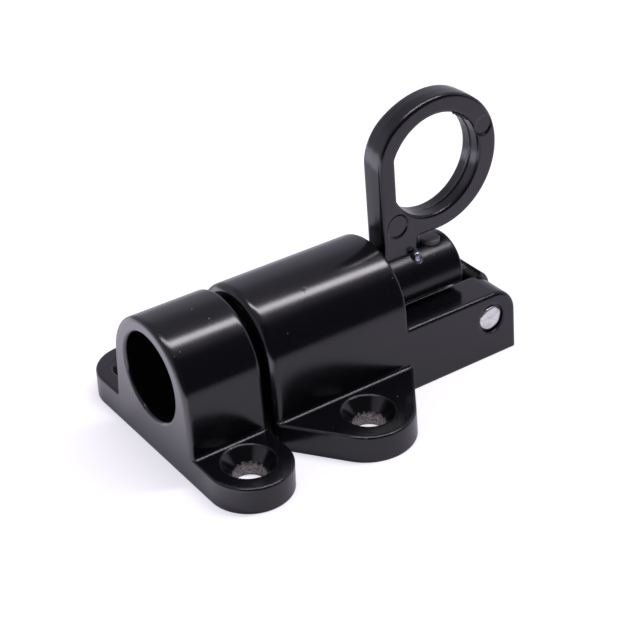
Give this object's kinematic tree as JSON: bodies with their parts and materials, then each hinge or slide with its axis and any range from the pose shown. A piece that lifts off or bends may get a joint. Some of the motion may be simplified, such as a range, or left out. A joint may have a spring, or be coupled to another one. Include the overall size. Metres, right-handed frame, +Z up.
{
  "type": "spring latch",
  "caption": "Surface-mounted spring latch: a round bolt with a finger ring slides in an arched housing and shoots into a matching keeper block.",
  "frame": {"origin": "on the mounting plane, midway between the housing's two screw holes", "axes": "+X along the bolt from the keeper to the ring, +Y across the ears, +Z up from the mounting plane"},
  "size_m": [0.0631, 0.0458, 0.0432],
  "materials": {
    "casting_coat": "glossy black coating on a die casting",
    "bolt_coat": "glossy black coating, slightly rubbed",
    "ring_coat": "glossy black coating with a soft parting ridge",
    "bright_metal": "peened bright steel",
    "dull_metal": "bare metal, dulled",
    "spring_wire": "drawn spring wire"
  },
  "bodies": {
    "frame_side": {"housing": "casting_coat", "keeper": "casting_coat", "cross_pin": "bright_metal", "spring": "spring_wire"},
    "bolt_slide": {"bolt": "bolt_coat", "pull_ring": "ring_coat", "stud": "bolt_coat", "foot_pin": "dull_metal"}
  },
  "joints": [
    {"name": "bolt_travel", "type": "slide", "parent": "frame_side", "child": "bolt_slide", "axis": [1, 0, 0], "range_m": [0, 0.0065], "stiffness_N_per_m": 350, "springref_m": -0.004, "deforming": ["spring"]}
  ]
}
